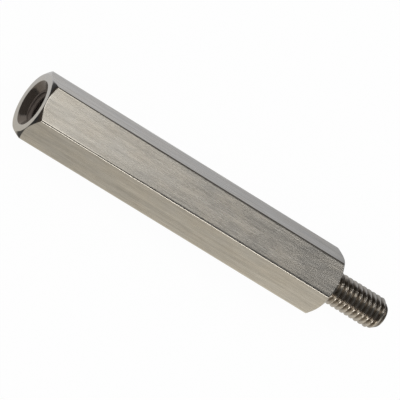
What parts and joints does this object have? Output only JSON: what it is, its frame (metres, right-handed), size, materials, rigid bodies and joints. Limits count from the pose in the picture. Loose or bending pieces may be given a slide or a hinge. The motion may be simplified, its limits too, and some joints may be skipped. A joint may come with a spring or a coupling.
{
  "type": "hex standoff",
  "caption": "Male-female hexagonal metal standoff: a threaded stud at one end and a countersunk tapped hole at the other.",
  "frame": {"origin": "centre of the shoulder face, on the standoff's axis, where the stud leaves the hexagon", "axes": "+X along the stud and out of its tip; the tapped hole opens towards -X; +Z out of one flat, and the standoff lies on the opposite flat, which faces -Z"},
  "size_m": [0.037, 0.0062, 0.0054],
  "materials": {
    "standoff_metal": "satin, drawn flats and turned ends"
  },
  "bodies": {
    "root": {"hex_standoff": "standoff_metal"}
  },
  "joints": []
}
